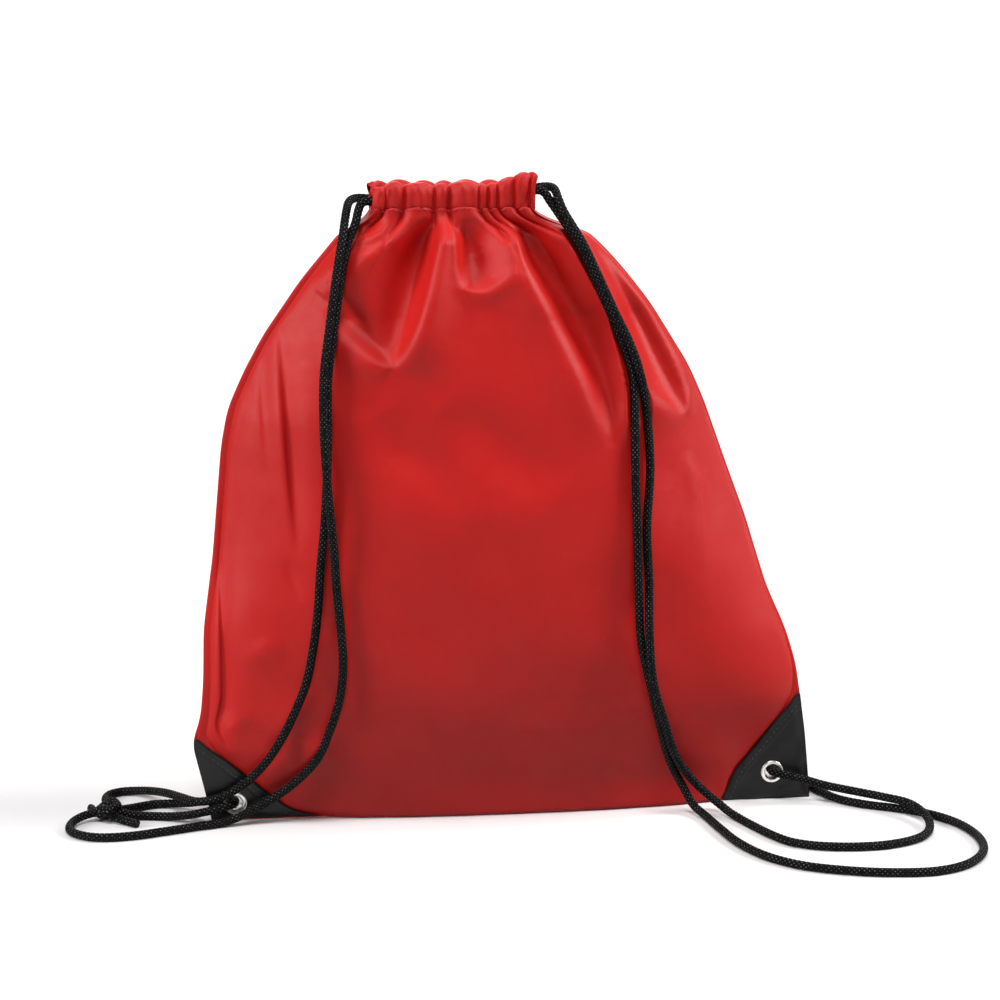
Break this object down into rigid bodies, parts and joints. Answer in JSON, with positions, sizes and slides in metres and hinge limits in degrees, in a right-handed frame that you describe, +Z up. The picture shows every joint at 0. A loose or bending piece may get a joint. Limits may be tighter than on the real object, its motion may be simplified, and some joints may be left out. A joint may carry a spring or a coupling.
{
  "type": "drawstring backpack",
  "caption": "Drawn-shut cloth sack on its own base, with two black cords from the gathered neck to eyelets in reinforced bottom corners; the cords serve as straps.",
  "frame": {"origin": "on the floor under the middle of the base, at the resting face", "axes": "+Z up to the gathered neck, +X to the bag's right as seen from the front, -Y towards the front, where the cords hang"},
  "size_m": [0.4952, 0.2005, 0.3571],
  "materials": {
    "red_polyester": "satin, fine plain weave",
    "red_thread": "matt sewing thread",
    "black_coated_cloth": "coated, slightly glossy, fine grain",
    "black_thread": "matt sewing thread",
    "nickel": "polished nickel plate",
    "black_cord": "braided polyester"
  },
  "bodies": {
    "bag": {"front_panel": "red_polyester", "back_panel": "red_polyester", "bottom_fold": "red_polyester", "left_side_seam": "red_polyester", "right_side_seam": "red_polyester", "front_casing": "red_polyester", "back_casing": "red_polyester", "front_casing_stitching": "red_thread", "back_casing_stitching": "red_thread", "left_front_patch": "black_coated_cloth", "left_back_patch": "black_coated_cloth", "right_front_patch": "black_coated_cloth", "right_back_patch": "black_coated_cloth", "left_patch_stitching": "black_thread", "right_patch_stitching": "black_thread", "left_eyelet": "nickel", "left_eyelet_washer": "nickel", "right_eyelet": "nickel", "right_eyelet_washer": "nickel", "left_cord_front_strand": "black_cord", "left_cord_back_strand": "black_cord", "left_cord_eyelet_loop": "black_cord", "left_knot": "black_cord", "right_cord_front_strand": "black_cord", "right_cord_back_strand": "black_cord", "right_knot": "black_cord"},
    "left_drawcord": {"left_cord_casing_run": "black_cord"},
    "right_drawcord": {"right_cord_casing_run": "black_cord"}
  },
  "joints": [
    {"name": "left_cord_slide", "type": "slide", "parent": "bag", "child": "left_drawcord", "axis": [1, 0, 0], "range_m": [0, 0.008]},
    {"name": "right_cord_slide", "type": "slide", "parent": "bag", "child": "right_drawcord", "axis": [-1, 0, 0], "range_m": [0, 0.008]}
  ]
}
